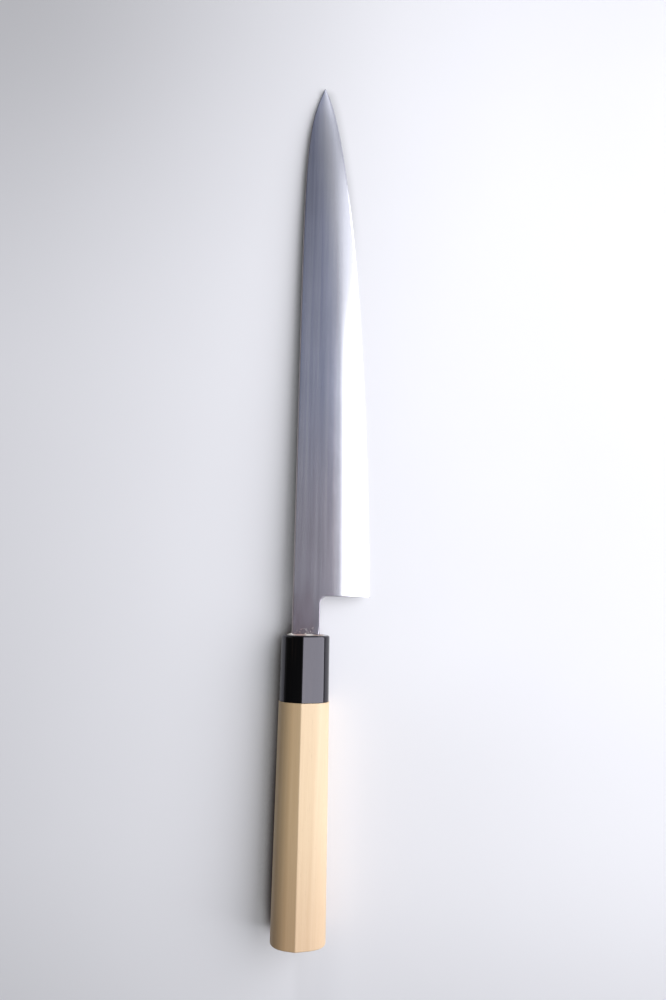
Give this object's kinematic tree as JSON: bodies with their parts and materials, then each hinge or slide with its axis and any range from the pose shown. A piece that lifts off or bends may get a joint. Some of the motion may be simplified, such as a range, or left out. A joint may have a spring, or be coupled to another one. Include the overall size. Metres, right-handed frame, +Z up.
{
  "type": "sujihiki slicing knife",
  "caption": "Long narrow slicing knife with a hidden tang in a pale wooden handle, a black horn ferrule and a ridged oval grip, lying on its left side.",
  "frame": {"origin": "centre of the floor under the knife's bounding box, which lies on its left side", "axes": "+Y along the knife to its tip, +X to the side of the cutting edge, +Z up, out of the blade's right face"},
  "size_m": [0.0442, 0.429, 0.0244],
  "materials": {
    "brushed_steel": "fine satin lines along the blade, bright ground bevel, warm grey neck",
    "polished_horn": "black buffalo horn, polished to a soft gloss",
    "magnolia_wood": "pale bare magnolia with fine straight grain, satin",
    "seal_resin": "matt, slightly crumbly pinkish tan filler",
    "bedding_resin": "matt brown resin, hidden"
  },
  "bodies": {
    "root": {"blade": "brushed_steel", "horn_ferrule": "polished_horn", "handle_body": "magnolia_wood", "mouth_seal": "seal_resin", "tang_bedding": "bedding_resin"}
  },
  "joints": []
}
